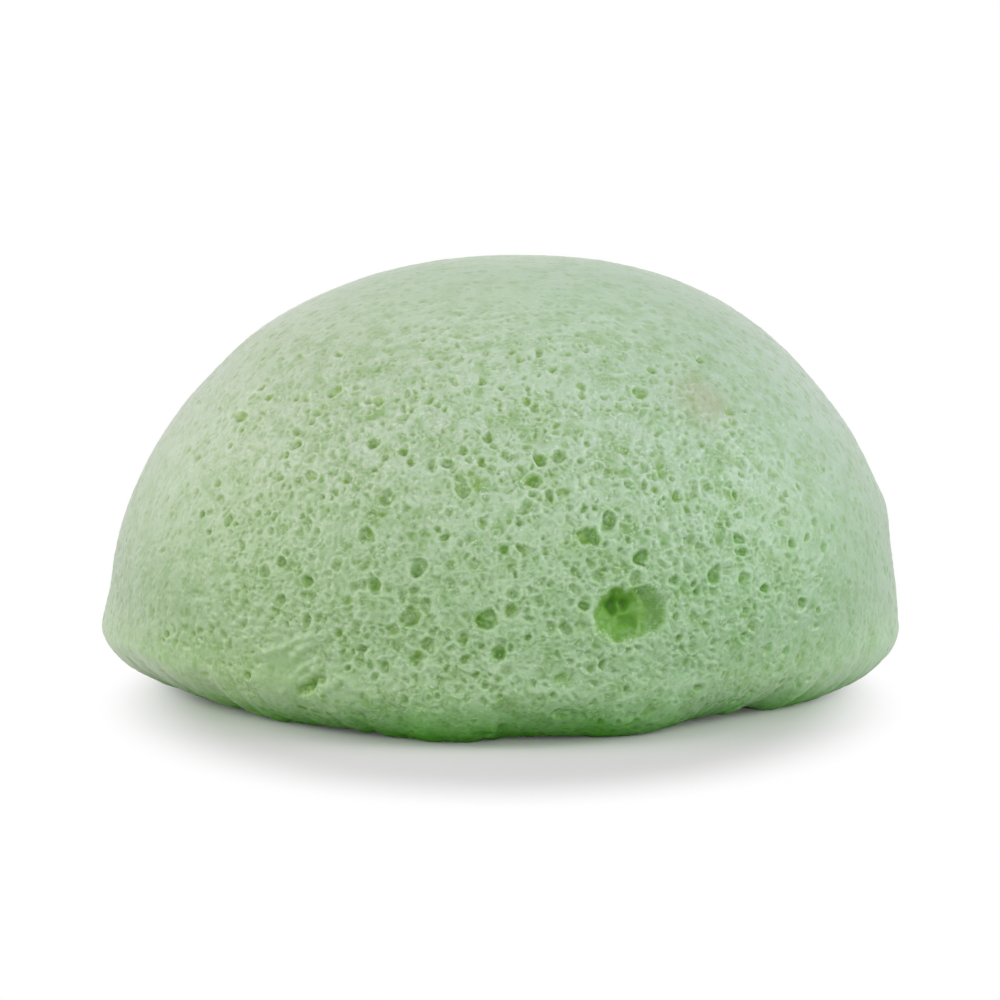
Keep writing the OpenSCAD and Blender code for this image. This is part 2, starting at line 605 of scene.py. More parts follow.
@dataclass(frozen=True)
class SkinPattern:
    """How the foam varies over the skin: it is calmer at the crown, at both sides and round the folds.

    Attributes:
        patches: The noise of more open and less open patches.
        patch_swing: How much the patches differ.
        edge_open: How open the foam is, by the height over the table in mm.
        crown_open: How open it is, by the share of the height.
        crown_relief: How strongly the cells stand out, by the share of the height.
        edge_relief: How strongly they stand out, by the height over the table in mm.
        middle_h: The height in mm of the middle of the front, where they stand out most.
        side_relief: How strongly they stand out away from that middle, by the share of half the width.
        calm_patches: The calm patches round the folds.
        patch_calm: How much calmer the cells are there.
        patch_power: How sharply a calm patch ends.
    """

    patches: Noise = Noise(9.0, 21)
    patch_swing: float = 0.2
    edge_open: Ease = Ease(3.0, 9.0, 0.45, 1.0)
    crown_open: Ease = Ease(0.65, 0.95, 1.0, 0.4)
    crown_relief: Ease = Ease(0.80, 1.0, 1.0, 0.4)
    edge_relief: Ease = Ease(1.0, 7.0, 0.75, 1.0)
    middle_h: float = 11.0
    side_relief: Ease = Ease(0.35, 0.95, 1.0, 0.4)
    calm_patches: tuple[Patch, ...] = (
        Patch(0.6655, 0.028, 3.2),
        Patch(0.6610, -0.010, 3.0),
        Patch(0.6900, -0.005, 2.2),
    )
    patch_calm: float = 0.5
    patch_power: int = 4

    def openness(self, points: np.ndarray, form: SpongeForm) -> np.ndarray:
        """Say how open the foam is over the skin.

        Args:
            points: The points of the skin in mm.
            form: The even form.

        Returns:
            A share from 0 to 1 for each point.
        """
        z = points[:, 2]
        patches = 1.0 - self.patch_swing + self.patch_swing * self.patches.at(points)
        return self.edge_open.of(z) * self.crown_open.of(z / form.height) * patches

    def relief(self, points: np.ndarray, form: SpongeForm) -> np.ndarray:
        """Say how strongly the cells stand out over the skin.

        Args:
            points: The points of the skin in mm.
            form: The even form.

        Returns:
            A share from 0 to 1 for each point.
        """
        z = points[:, 2]
        off = np.hypot(points[:, 0], np.clip(z - self.middle_h, 0.0, None)) / (form.width / 2.0)
        relief = self.crown_relief.of(z / form.height) * self.side_relief.of(off) * self.edge_relief.of(z)
        for patch in self.calm_patches:
            window = bell(form.away(points, patch), patch.radius, self.patch_power)
            relief *= 1.0 - self.patch_calm * window
        return relief


@dataclass
class Foam:
    """The cells of the foam, sunk into a skin of points.

    Attributes:
        points: The skin's points in mm.
        outs: The way out of the skin at each point.
        areas: The area of skin at each point, in square mm.
        openness: How open the foam is at each point, from 0 to 1.
        relief: How strongly the cells stand out at each point, from 0 to 1.
        bend: How far a cell's outline strays from round, in mm.
        bends: The noises that bend it along each axis.
        tries: How many places are tried for each cell of a net.
        neighbours: How many cells are looked at for each point of a net.
        lead_power: How much more common small cells are in a net than wide ones.
        least_open: The least openness that a cell's chance is taken from.
        break_length: The length of the noise that breaks the walls, in mm.
        whole: How whole a wall is, by that noise.
        lip_w: How far out a pore's raised rim reaches, in mm.
        lip_h: How high that rim is, in mm.
        lip_peak: How far out it is highest, as a share of its reach.
        lip_fall: How slowly it falls away from there.
        fold_highlight: How strongly a fold is marked for the material.
        grain_least: How high the grains are where the cells don't stand out at all.
        floor_cells: How many cells and rims a floor still has, by its depth in mm.
        deep_cells: How many of the finest cells a deep floor still has, by its depth in mm.
        deep_grains: How high the grains are on a deep floor, by its depth in mm.
        pore_relief: How many pores there are, by how strongly the cells stand out.
        small_power: How much more common small pores are than wide ones.
    """

    points: np.ndarray
    outs: np.ndarray
    areas: np.ndarray
    openness: np.ndarray
    relief: np.ndarray
    bend: float = 0.26
    bends: tuple[Noise, ...] = (Noise(0.9, 41), Noise(0.9, 42), Noise(0.9, 43))
    tries: float = 3.0
    neighbours: int = 4
    lead_power: int = 2
    least_open: float = 0.01
    break_length: float = 1.1
    whole: Ease = Ease(-0.35, 0.35)
    lip_w: float = 0.30
    lip_h: float = 0.06
    lip_peak: float = 0.3
    lip_fall: float = 0.08
    # fold_highlight: How strongly a raised fold is marked pale for the material, as painted highlight on its
    # ridge.
    fold_highlight: float = 0.6
    grain_least: float = 0.1
    floor_cells: Ease = Ease(0.3, 0.9, 1.0, 0.0)
    deep_cells: Ease = Ease(0.6, 1.4, 1.0, 0.7)
    deep_grains: Ease = Ease(0.6, 1.4, 1.0, 0.55)
    pore_relief: Ease = Ease(0.35, 0.85)
    small_power: float = 1.6

    def __post_init__(self) -> None:
        """Start with no depth and no walls, and bend space a little so that no cell is round."""
        self.depth = np.zeros(len(self.points))
        self.pale_walls_and_highlights = np.zeros(len(self.points))
        bends = [noise.at(self.points) for noise in self.bends]
        self._bent = self.points + self.bend * np.stack(bends, axis=-1)
        self._tree = point_tree(self.points)

    def nearest(self, point: np.ndarray) -> int:
        """Give the index of the skin's point that is nearest to a place."""
        return self._tree.find(point.tolist())[1]

    def close(self, left: Ease) -> None:
        """Close the foam on floors that are deep, so that what follows opens fewer cells there."""
        self.openness = self.openness * left.of(self.depth)

    def spaced_feet(self, apart: float, rng: np.random.Generator) -> np.ndarray:
        """Choose points of the skin that keep a least distance, as densely as they fit at random.

        Args:
            apart: The least distance in mm.
            rng: The source of randomness.

        Returns:
            The indices of the chosen points.
        """
        tries = int(self.tries * self.areas.sum() / apart**2)
        feet = rng.choice(len(self.points), size=tries, p=self.areas / self.areas.sum())
        tree = point_tree(self.points[feet])
        kept = np.ones(tries, dtype=bool)
        for index, place in enumerate(self.points[feet].tolist()):
            if kept[index]:
                for hit in tree.find_range(place, apart):
                    if hit[1] > index:
                        kept[hit[1]] = False
        return feet[kept]

    def lay_net(self, net: CellNet) -> int:
        """Sink the cells of a net into the skin, and mark the walls between them pale, partly as painted
        highlight.

        Args:
            net: The net to lay.

        Returns:
            The number of its cells.
        """
        rng = np.random.default_rng(net.seed)
        feet = self.spaced_feet(net.apart, rng)
        leads = net.lead * rng.random(len(feet)) ** self.lead_power
        chance = rng.random(len(feet)) / np.maximum(self.openness[feet], self.least_open)
        open_part, cupped_part = net.open_parts
        shares = np.select(
            [chance < open_part, chance < open_part + cupped_part],
            [Opening.OPEN.value, Opening.CUPPED.value],
            Opening.SHUT.value,
        )
        tree = point_tree(self.points[feet])
        found = (hit[1] for place in self._bent.tolist() for hit in tree.find_n(place, self.neighbours))
        near = np.fromiter(found, dtype=np.int64, count=self.neighbours * len(self.points))
        near = near.reshape(-1, self.neighbours)
        away = np.linalg.norm(self._bent[:, None, :] - self.points[feet][near], axis=2) - leads[near]
        order = np.argsort(away, axis=1)
        first, second = np.take_along_axis(away, order[:, :2], axis=1).T
        owner = np.take_along_axis(near, order[:, :1], axis=1)[:, 0]
        inner = (second - first) / 2.0
        bowl = Ease(net.wall, net.wall + net.slope).of(inner)
        whole = self.whole.of(Noise(self.break_length, net.seed + 1).at(self.points))
        self.depth += self.relief * (net.deep * shares[owner] * bowl)
        # The walls are marked pale: partly the gel's own pale walls, partly painted highlight
        self.pale_walls_and_highlights = np.maximum(self.pale_walls_and_highlights, self.relief * (whole * bell(inner, net.wall)))
        return len(feet)

    def take_out(self, foot: int, radius: float, sunk: float, soft: float) -> None:
        """Take a ball out of the foam: sink every point inside it to its floor, and raise its rim, which is
        marked pale as painted highlight.

        Args:
            foot: The index of the skin's point over its centre.
            radius: Its radius in mm.
            sunk: How far its centre lies under the skin, in mm. Below zero it lies outside.
            soft: How wide its rim is rounded, in mm.
        """
        hits = self._tree.find_range(self.points[foot].tolist(), radius + self.lip_w)
        near = np.fromiter((hit[1] for hit in hits), dtype=np.int64, count=len(hits))
        outs = self.outs[near]
        depth = self.depth[near]
        centre = self.points[foot] - self.outs[foot] * sunk
        from_centre = self._bent[near] - outs * depth[:, None] - centre
        distance2 = np.einsum("ij,ij->i", from_centre, from_centre)
        distance = np.sqrt(distance2)
        inside = distance2 < radius**2
        along = np.einsum("ij,ij->i", from_centre, outs)
        way = along + np.sqrt(np.maximum(radius**2 - distance2 + along**2, 0.0))
        ease = Ease(0.0, soft).of(radius - distance)
        beside = (distance - radius) / self.lip_w
        lip = np.where(inside, 0.0, np.exp(-((beside - self.lip_peak) ** 2) / self.lip_fall))
        lip *= self.relief[near] * self.floor_cells.of(depth)
        self.depth[near] = np.where(inside, depth + way * ease, depth - self.lip_h * lip)
        # The raised rim is marked pale: painted highlight where light catches it
        self.pale_walls_and_highlights[near] = np.maximum(self.pale_walls_and_highlights[near], lip)

    def roughen(self, grain: Noise, height: float) -> None:
        """Roughen the skin with soft grains."""
        calm = self.grain_least + (1.0 - self.grain_least) * self.relief
        self.depth += height * (calm * self.deep_grains.of(self.depth)) * grain.at(self.points)

    def raise_line(self, start: np.ndarray, end: np.ndarray, width: float, out: float) -> None:
        """Raise or sink a straight fold of the skin, and mark a raised fold pale as painted highlight on its
        ridge.

        Args:
            start: Where it starts, in mm.
            end: Where it ends, in mm.
            width: Half its width in mm.
            out: How far it stands out, in mm.
        """
        way = end - start
        share = np.clip((self._bent - start) @ way / (way @ way), 0.0, 1.0)
        apart = np.linalg.norm(self._bent - start - share[:, None] * way, axis=1)
        fold = bell(apart, width)
        self.depth -= out * fold
        # A raised fold is marked pale: painted highlight on its ridge
        self.pale_walls_and_highlights = np.maximum(self.pale_walls_and_highlights, math.copysign(self.fold_highlight, out) * fold)

    def scatter(self, size: PoreSize) -> int:
        """Take out pores of one size at random places, each from the foam as the ones before it left it.

        Args:
            size: The size class.

        Returns:
            The number of pores.
        """
        rng = np.random.default_rng(size.seed)
        weights = self.areas * self.openness * self.pore_relief.of(self.relief)
        count = int(size.per_mm2 * weights.sum())
        feet = rng.choice(len(self.points), size=count, p=weights / weights.sum())
        radii = size.radii[0] + (size.radii[1] - size.radii[0]) * rng.random(count) ** self.small_power
        sunk = rng.uniform(size.sunk[0], size.sunk[1], count) * radii
        for foot, radius, under in zip(feet, radii, sunk):
            self.take_out(foot, radius, self.depth[foot] + under, size.soft)
        return count


@dataclass(frozen=True)
class CellNotes:
    """What is noted at each point of the finished foam for the material to read.

    Attributes:
        near_rounds: Rounds of smoothing that give the level round a point.
        wall_h: How far in mm a point stands over that level where it is fully marked as a wall.
        depth_rounds: Rounds of smoothing for the depth that is noted.
        full_depth: The depth in mm that is noted as 1.
        pit_rounds: Rounds of smoothing after which only large hollows are left.
        pit_walls: How strongly walls are marked in such a hollow, by its depth as a share of the full one.
        stain: The tan stain.
        stain_spots: The noise that makes the stain patchy.
        stain_swing: How patchy it is.
    """

    near_rounds: int = 6
    # wall_h: How far in mm a point stands over that level where it is fully marked as a pale wall, a painted
    # highlight on raised points.
    wall_h: float = 0.30
    depth_rounds: int = 1
    full_depth: float = 3.6
    pit_rounds: int = 12
    pit_walls: Ease = Ease(0.1, 0.4, 1.0, 0.15)
    stain: Patch = Patch(0.8545, 0.462, 2.7)
    stain_spots: Noise = Noise(1.6, 51)
    stain_swing: float = 0.3

    def write(self, mesh: bpy.types.Mesh, foam: Foam, form: SpongeForm) -> None:
        """Write the depth, the walls with their painted highlight, the relief and the stain onto the mesh.

        Args:
            mesh: The finished mesh.
            foam: The opened foam.
            form: The even form.
        """
        # Points that stand over the level round them are marked pale: painted highlight on raised ridges
        over = smoothed(mesh, foam.depth, self.near_rounds) - foam.depth
        raised_highlight = np.clip(over / self.wall_h, 0.0, 1.0)
        calm = self.pit_walls.of(smoothed(mesh, foam.depth, self.pit_rounds) / self.full_depth)
        depth = smoothed(mesh, foam.depth, self.depth_rounds)
        patchy = 1.0 - self.stain_swing + self.stain_swing * self.stain_spots.at(foam.points)
        notes = {
            "cell_wall_and_highlight": np.clip(np.maximum(foam.pale_walls_and_highlights, raised_highlight) * calm, 0.0, 1.0),
            "cell_depth": np.clip(depth / self.full_depth, 0.0, 1.0),
            "cell_relief": foam.relief,
            "skin_stain": patchy * bell(form.away(foam.points, self.stain), self.stain.radius),
        }
        for name, values in notes.items():
            layer = mesh.attributes.new(name, "FLOAT", "POINT")
            layer.data.foreach_set("value", values.astype(np.float32))


@dataclass
class SpongeBody:
    """The sponge itself, one moulding of foamed konjac gel.

    Attributes:
        form: Its even form.
        fineness: Subdivisions of the ball that the mesh starts from.
        base_weight: How densely the flat base is meshed, where the dome has 1.
        waves: The waves, bumps and dents of its skin.
        edge: Its lower edge.
        pattern: How its foam varies over the skin.
        notes: What the material reads from it.
        wide_net: The net of the widest cells, most of them shut.
        coarse_net: The net of cells that the foam's pattern comes from.
        fine_net: The net of small cells that lies over all.
        creases: The folds at the lower left of the front.
        grains: The soft grains between the cells, with their heights in mm.
        pit_balls: The balls that make the large pit and the hole in its floor.
        pore_sizes: The pores scattered over the skin.
        front_pores: The wider pores on the front.
        front_scale: What the radii of those pores are multiplied by.
        front_sunk: How far the centres of those pores lie under the skin, as a share of the radius.
        front_soft: How wide their rims are rounded, in mm.
    """

    form: SpongeForm
    fineness: int = 9
    base_weight: float = 0.35
    waves: SkinWaves = SkinWaves()
    edge: LowerEdge = LowerEdge()
    pattern: SkinPattern = SkinPattern()
    notes: CellNotes = CellNotes()
    wide_net: CellNet = CellNet(1.40, 0.60, 0.14, 0.55, 0.18, (0.16, 0.34), 18)
    coarse_net: CellNet = CellNet(0.80, 0.35, 0.12, 0.34, 0.23, (0.32, 0.38), 12)
    fine_net: CellNet = CellNet(0.42, 0.10, 0.08, 0.14, 0.10, (0.5, 0.35), 16)
    creases: tuple[Crease, ...] = (
        Crease(Spot(0.6530, 0.030), Spot(0.6635, 0.048), 0.42, 0.24),
        Crease(Spot(0.6635, 0.048), Spot(0.6750, 0.066), 0.40, 0.20),
        Crease(Spot(0.6668, 0.029), Spot(0.6710, 0.043), 0.45, 0.24),
        Crease(Spot(0.6710, 0.043), Spot(0.6760, 0.052), 0.42, 0.20),
        Crease(Spot(0.6610, -0.130), Spot(0.6713, 0.017), 0.36, 0.16),
        Crease(Spot(0.6713, 0.017), Spot(0.6790, 0.034), 0.36, 0.22),
        Crease(Spot(0.6725, 0.006), Spot(0.6775, 0.015), 0.45, 0.24),
        Crease(Spot(0.6827, -0.015), Spot(0.6885, 0.008), 0.45, 0.24),
        Crease(Spot(0.6885, 0.008), Spot(0.6945, -0.002), 0.45, 0.24),
        Crease(Spot(0.6945, -0.002), Spot(0.6990, -0.030), 0.40, 0.20),
        Crease(Spot(0.6713, -0.070), Spot(0.6755, -0.030), 0.50, -0.60),
        Crease(Spot(0.6755, -0.030), Spot(0.6795, 0.006), 0.42, -0.45),
    )
    grains: tuple[tuple[Noise, float], ...] = ((Noise(0.70, 61), 0.06), (Noise(0.36, 62), 0.06))
    pit_balls: tuple[PitBall, ...] = (
        PitBall(0.7955, 0.104, 3.7, -1.95, 0.9),
        PitBall(0.8035, 0.105, 3.7, -2.25, 1.0),
        PitBall(0.7935, 0.118, 1.05, 1.30, 0.8),
        PitBall(0.7975, 0.115, 0.90, 1.40, 0.8),
    )
    pore_sizes: tuple[PoreSize, ...] = (
        PoreSize(0.020, (0.7, 1.0), (-0.7, -0.4), 0.5, 11),
        PoreSize(0.38, (0.50, 1.10), (-0.92, -0.78), 0.18, 14),
        PoreSize(0.17, (0.40, 0.80), (-0.85, -0.50), 0.4, 13),
        PoreSize(0.25, (0.30, 0.5), (-0.8, -0.45), 0.28, 15),
    )
    front_pores: tuple[FrontPore, ...] = (
        FrontPore(0.688, 0.388, 0.80), FrontPore(0.709, 0.478, 0.90), FrontPore(0.741, 0.405, 0.80),
        FrontPore(0.717, 0.348, 0.80), FrontPore(0.740, 0.358, 0.70), FrontPore(0.750, 0.370, 0.80),
        FrontPore(0.764, 0.370, 0.70), FrontPore(0.773, 0.369, 0.90), FrontPore(0.680, 0.318, 0.70),
        FrontPore(0.695, 0.326, 0.70), FrontPore(0.703, 0.292, 0.90), FrontPore(0.758, 0.282, 0.90),
        FrontPore(0.694, 0.226, 1.10), FrontPore(0.726, 0.229, 0.70), FrontPore(0.741, 0.253, 0.70),
        FrontPore(0.768, 0.295, 0.70), FrontPore(0.800, 0.254, 0.60), FrontPore(0.792, 0.249, 1.00),
        FrontPore(0.783, 0.227, 1.20), FrontPore(0.757, 0.207, 0.80), FrontPore(0.804, 0.191, 0.90),
        FrontPore(0.718, 0.182, 0.70), FrontPore(0.716, 0.140, 0.80), FrontPore(0.754, 0.138, 0.70),
        FrontPore(0.714, 0.102, 1.20), FrontPore(0.743, 0.100, 1.20), FrontPore(0.753, 0.110, 0.80),
        FrontPore(0.735, 0.076, 0.80), FrontPore(0.722, 0.063, 0.90), FrontPore(0.717, 0.042, 1.00),
        FrontPore(0.748, 0.053, 1.00), FrontPore(0.774, 0.084, 0.80), FrontPore(0.823, 0.169, 0.70),
        FrontPore(0.850, 0.187, 0.60), FrontPore(0.671, 0.148, 0.70), FrontPore(0.658, 0.094, 0.60),
        FrontPore(0.720, 0.428, 0.50), FrontPore(0.723, 0.356, 0.60), FrontPore(0.733, 0.361, 0.40),
        FrontPore(0.686, 0.228, 0.60), FrontPore(0.752, 0.231, 0.60), FrontPore(0.783, 0.275, 0.60),
        FrontPore(0.781, 0.175, 0.50), FrontPore(0.789, 0.174, 0.60), FrontPore(0.760, 0.100, 0.60),
        FrontPore(0.758, 0.072, 0.60), FrontPore(0.836, 0.150, 0.60), FrontPore(0.801, 0.048, 0.60),
        FrontPore(0.818, 0.064, 0.60), FrontPore(0.678, 0.469, 0.60), FrontPore(0.652, 0.436, 0.60),
    )
    front_scale: float = 1.05
    front_sunk: float = -0.45
    front_soft: float = 0.45

    def start_ball(self) -> bpy.types.Mesh:
        """Make the closed ball that the skin is drawn from.

        Returns:
            A mesh of even triangles on a ball of radius 1.
        """
        ball = bmesh.new()
        bmesh.ops.create_icosphere(ball, subdivisions=self.fineness, radius=1.0)
        mesh = bpy.data.meshes.new("sponge_foam")
        ball.to_mesh(mesh)
        ball.free()
        return mesh

    def draw_skin(self, mesh: bpy.types.Mesh) -> np.ndarray:
        """Move the ball's points onto the sponge's skin, with its waves and its lower edge.

        Args:
            mesh: The ball, which is left with the skin's form.

        Returns:
            The points of the skin in mm.
        """
        ball = read_vectors(mesh.vertices, "co")
        rise, reach = self.form.spread(ball[:, 2], self.base_weight)
        points = self.form.skin(turn_of(ball), rise)
        points[:, :2] *= reach[:, None]
        write_points(mesh, points)
        outs = read_vectors(mesh.vertex_normals, "vector")
        points = points + outs * self.waves.out(points, self.form)[:, None]
        points = above_table(self.edge.bend(points, self.form))
        write_points(mesh, points)
        return points

    def open_foam(self, foam: Foam) -> None:
        """Sink the cells, the pit, the pores and the folds into the foam.

        Args:
            foam: The foam to open.
        """
        LOG.info("cells of the wide net: %d", foam.lay_net(self.wide_net))
        LOG.info("cells of the coarse net: %d", foam.lay_net(self.coarse_net))
        for ball in self.pit_balls:
            foam.take_out(foam.nearest(self.form.place(ball)), ball.radius, ball.sunk, ball.soft)
        foam.close(foam.floor_cells)
        for pore in self.front_pores:
            foot = foam.nearest(self.form.place(pore))
            sunk = foam.depth[foot] + self.front_sunk * pore.radius
            foam.take_out(foot, self.front_scale * pore.radius, sunk, self.front_soft)
        for size in self.pore_sizes:
            LOG.info("pores of %.2f to %.2f mm: %d", *size.radii, foam.scatter(size))
        foam.close(foam.deep_cells)
        LOG.info("cells of the fine net: %d", foam.lay_net(self.fine_net))
        for crease in self.creases:
            start, end = self.form.place(crease.start), self.form.place(crease.end)
            foam.raise_line(start, end, crease.width, crease.out)
        for grain, height in self.grains:
            foam.roughen(grain, height)

    def build(self) -> bpy.types.Object:
        """Model the sponge.

        Returns:
            The finished piece, without its material.
        """
        mesh = self.start_ball()
        points = self.draw_skin(mesh)
        outs = read_vectors(mesh.vertex_normals, "vector")
        openness = self.pattern.openness(points, self.form)
        relief = self.pattern.relief(points, self.form)
        foam = Foam(points, outs, point_areas(mesh, points), openness, relief)
        self.open_foam(foam)
        write_points(mesh, above_table(points - outs * foam.depth[:, None]))
        self.notes.write(mesh, foam, self.form)
        mesh.polygons.foreach_set("use_smooth", np.ones(len(mesh.polygons), dtype=bool))
        piece = bpy.data.objects.new("sponge_foam", mesh)
        bpy.context.scene.collection.objects.link(piece)
        return piece


def read_vectors(items: bpy.types.bpy_prop_collection, name: str) -> np.ndarray:
    """Read a vector from each item of a mesh.

    Args:
        items: The mesh's points or normals.
        name: What the vector is called there.

    Returns:
        One row per item.
    """
    flat = np.empty(len(items) * 3, dtype=np.float32)
    items.foreach_get(name, flat)
    return flat.reshape(-1, 3).astype(np.float64)


def write_points(mesh: bpy.types.Mesh, points: np.ndarray) -> None:
    """Write a mesh's points, given in mm."""
    mesh.vertices.foreach_set("co", (points * MM).astype(np.float32).ravel())
    mesh.update()


def point_areas(mesh: bpy.types.Mesh, points: np.ndarray) -> np.ndarray:
    """Share a mesh's area out to its points.

    Args:
        mesh: A mesh of triangles.
        points: Its points in mm.

    Returns:
        The area at each point, in square mm.
    """
    flat = np.empty(len(mesh.loops), dtype=np.int32)
    mesh.loops.foreach_get("vertex_index", flat)
    corners = flat.reshape(-1, 3)
    first = points[corners[:, 0]]
    cross = np.cross(points[corners[:, 1]] - first, points[corners[:, 2]] - first)
    # A triangle has half the area of its cross product, and each of its corners gets a third of that
    area = np.linalg.norm(cross, axis=1) / 6.0
    return np.bincount(corners.ravel(), weights=np.repeat(area, 3), minlength=len(points))


def smoothed(mesh: bpy.types.Mesh, values: np.ndarray, rounds: int) -> np.ndarray:
    """Average a value over neighbouring points.

    Args:
        mesh: The mesh that says which points are neighbours.
        values: One value for each point.
        rounds: How many times to average.

    Returns:
        The smoothed values.
    """
    flat = np.empty(len(mesh.edges) * 2, dtype=np.int32)
    mesh.edges.foreach_get("vertices", flat)
    ends = flat.reshape(-1, 2)
    starts = np.concatenate([ends[:, 0], ends[:, 1]])
    others = np.concatenate([ends[:, 1], ends[:, 0]])
    count = np.bincount(starts, minlength=len(values)) + 1
    for _ in range(rounds):
        values = (values + np.bincount(starts, weights=values[others], minlength=len(values))) / count
    return values


def linear(red: int, green: int, blue: int) -> Colour:
    """Turn a screen colour into the linear values that a shader takes.

    Args:
        red: Its red, from 0 to 255.
        green: Its green.
        blue: Its blue.

    Returns:
        The opaque colour.
    """
    values = []
    for channel in (red, green, blue):
        share = channel / 255.0
        bent = ((share + SCREEN_LIFT) / (1.0 + SCREEN_LIFT)) ** SCREEN_POWER
        values.append(share / SCREEN_SLOPE if share <= SCREEN_TURN else bent)
    return (*values, 1.0)


@dataclass(frozen=True)
class SoftSpots:
    """Soft noise in a material, turned into a mask.

    Attributes:
        length_mm: The size of its spots.
        detail: How many finer layers it has.
        mask: How strong the mask is, by the noise.
    """

    length_mm: float
    detail: float
    mask: Ease = Ease(0.0, 1.0)


@dataclass(frozen=True)
class RoundSpots:
    """Soft round spots in some of the cells of a material.

    Attributes:
        length_mm: The size of a cell.
        part: The part of the cells that has a spot.
        edge: How strong a spot is, by the distance from its middle as a share of the cell's size.
        blur: How gently a cell's chance of a spot sets in.
    """

    length_mm: float
    part: float
    edge: Ease = Ease(0.22, 0.52, 1.0, 0.0)
    blur: float = 0.15


@dataclass
class NodePainter:
    """Adds shader nodes to a material or world and links them.

    Attributes:
        tree: The node tree.
    """

    tree: bpy.types.NodeTree

    def attribute(self, name: str) -> Socket:
        """Read a value that the mesh carries.

        Args:
            name: The name of the value.

        Returns:
            The value.
        """
        node = self.tree.nodes.new("ShaderNodeAttribute")
        node.attribute_name = name
        return node.outputs["Fac"]

    def fill(self, socket: Socket, value: Socket | Colour | float) -> None:
        """Link an output to an input, or set the input to a plain value.

        Args:
            socket: The input.
            value: The output, or the plain value.
        """
        if isinstance(value, Socket):
            self.tree.links.new(value, socket)
        else:
            socket.default_value = value

    def eased(self, value: Socket, ease: Ease, unit: float = 1.0) -> Socket:
        """Turn one range of a value into another, eased at both ends.

        Args:
            value: The value to turn.
            ease: The two ranges.
            unit: The unit that the first range is given in.

        Returns:
            The new value.
        """
        node = self.tree.nodes.new("ShaderNodeMapRange")
        node.interpolation_type = "SMOOTHSTEP"
        node.inputs["From Min"].default_value = ease.low * unit
        node.inputs["From Max"].default_value = ease.high * unit
        node.inputs["To Min"].default_value = ease.start
        node.inputs["To Max"].default_value = ease.end
        self.tree.links.new(value, node.inputs["Value"])
        return node.outputs["Result"]

    def sum_of(self, operation: str, first: Socket, second: Socket | float) -> Socket:
        """Do sums with a value and another value or number.

        Args:
            operation: The name of the sum.
            first: The first value.
            second: The second value, or a number.

        Returns:
            The result.
        """
        node = self.tree.nodes.new("ShaderNodeMath")
        node.operation = operation
        self.fill(node.inputs[0], first)
        self.fill(node.inputs[1], second)
        return node.outputs["Value"]

    def times(self, first: Socket, second: Socket | float) -> Socket:
        """Multiply a value by another value or number."""
        return self.sum_of("MULTIPLY", first, second)

    def mixed(
        self, share: Socket | float, first: Socket | Colour, second: Socket | Colour, blend: str = "MIX"
    ) -> Socket:
        """Mix two colours.

        Args:
            share: How much of the second there is.
            first: The first colour, or the output that gives it.
            second: The second colour, or the output that gives it.
            blend: How the second acts on the first.

        Returns:
            The mixed colour.
        """
        node = self.tree.nodes.new("ShaderNodeMix")
        node.data_type = "RGBA"
        node.blend_type = blend
        self.fill(node.inputs[MIX_SHARE], share)
        self.fill(node.inputs[MIX_FIRST], first)
        self.fill(node.inputs[MIX_SECOND], second)
        return node.outputs[MIX_RESULT]

    def tinted(self, share: Socket | float, colour: Socket, tint: Socket | Colour) -> Socket:
        """Multiply a colour by a tint, where and as far as a share says."""
        return self.mixed(share, colour, tint, "MULTIPLY")

    def mixed_shader(self, share: Socket, first: Socket, second: Socket) -> Socket:
        """Mix two shaders.

        Args:
            share: How much of the second there is.
            first: The first shader.
            second: The second shader.

        Returns:
            The mixed shader.
        """
        node = self.tree.nodes.new("ShaderNodeMixShader")
        for socket, value in zip(node.inputs, (share, first, second)):
            self.fill(socket, value)
        return node.outputs["Shader"]

    def ramp(self, value: Socket, stops: tuple[tuple[float, Colour], ...]) -> Socket:
        """Turn a value into the colours of a ramp.

        Args:
            value: The value, from 0 to 1.
            stops: The places and colours of the ramp, in order.

        Returns:
            The colour.
        """
        node = self.tree.nodes.new("ShaderNodeValToRGB")
        elements = node.color_ramp.elements
        for index in (0, -1):
            elements[index].position = stops[index][0]
            elements[index].color = stops[index][1]
        for position, colour in stops[1:-1]:
            elements.new(position).color = colour
        self.tree.links.new(value, node.inputs["Fac"])
        return node.outputs["Color"]

    def seen_rays(self) -> Socket:
        """Tell the rays that see the surroundings from the rays that only carry light.

        Returns:
            1 for camera, glossy and transmission rays, and 0 for others.
        """
        rays = self.tree.nodes.new("ShaderNodeLightPath").outputs
        mirrored = self.sum_of("MAXIMUM", rays["Is Glossy Ray"], rays["Is Transmission Ray"])
        return self.sum_of("MAXIMUM", rays["Is Camera Ray"], mirrored)


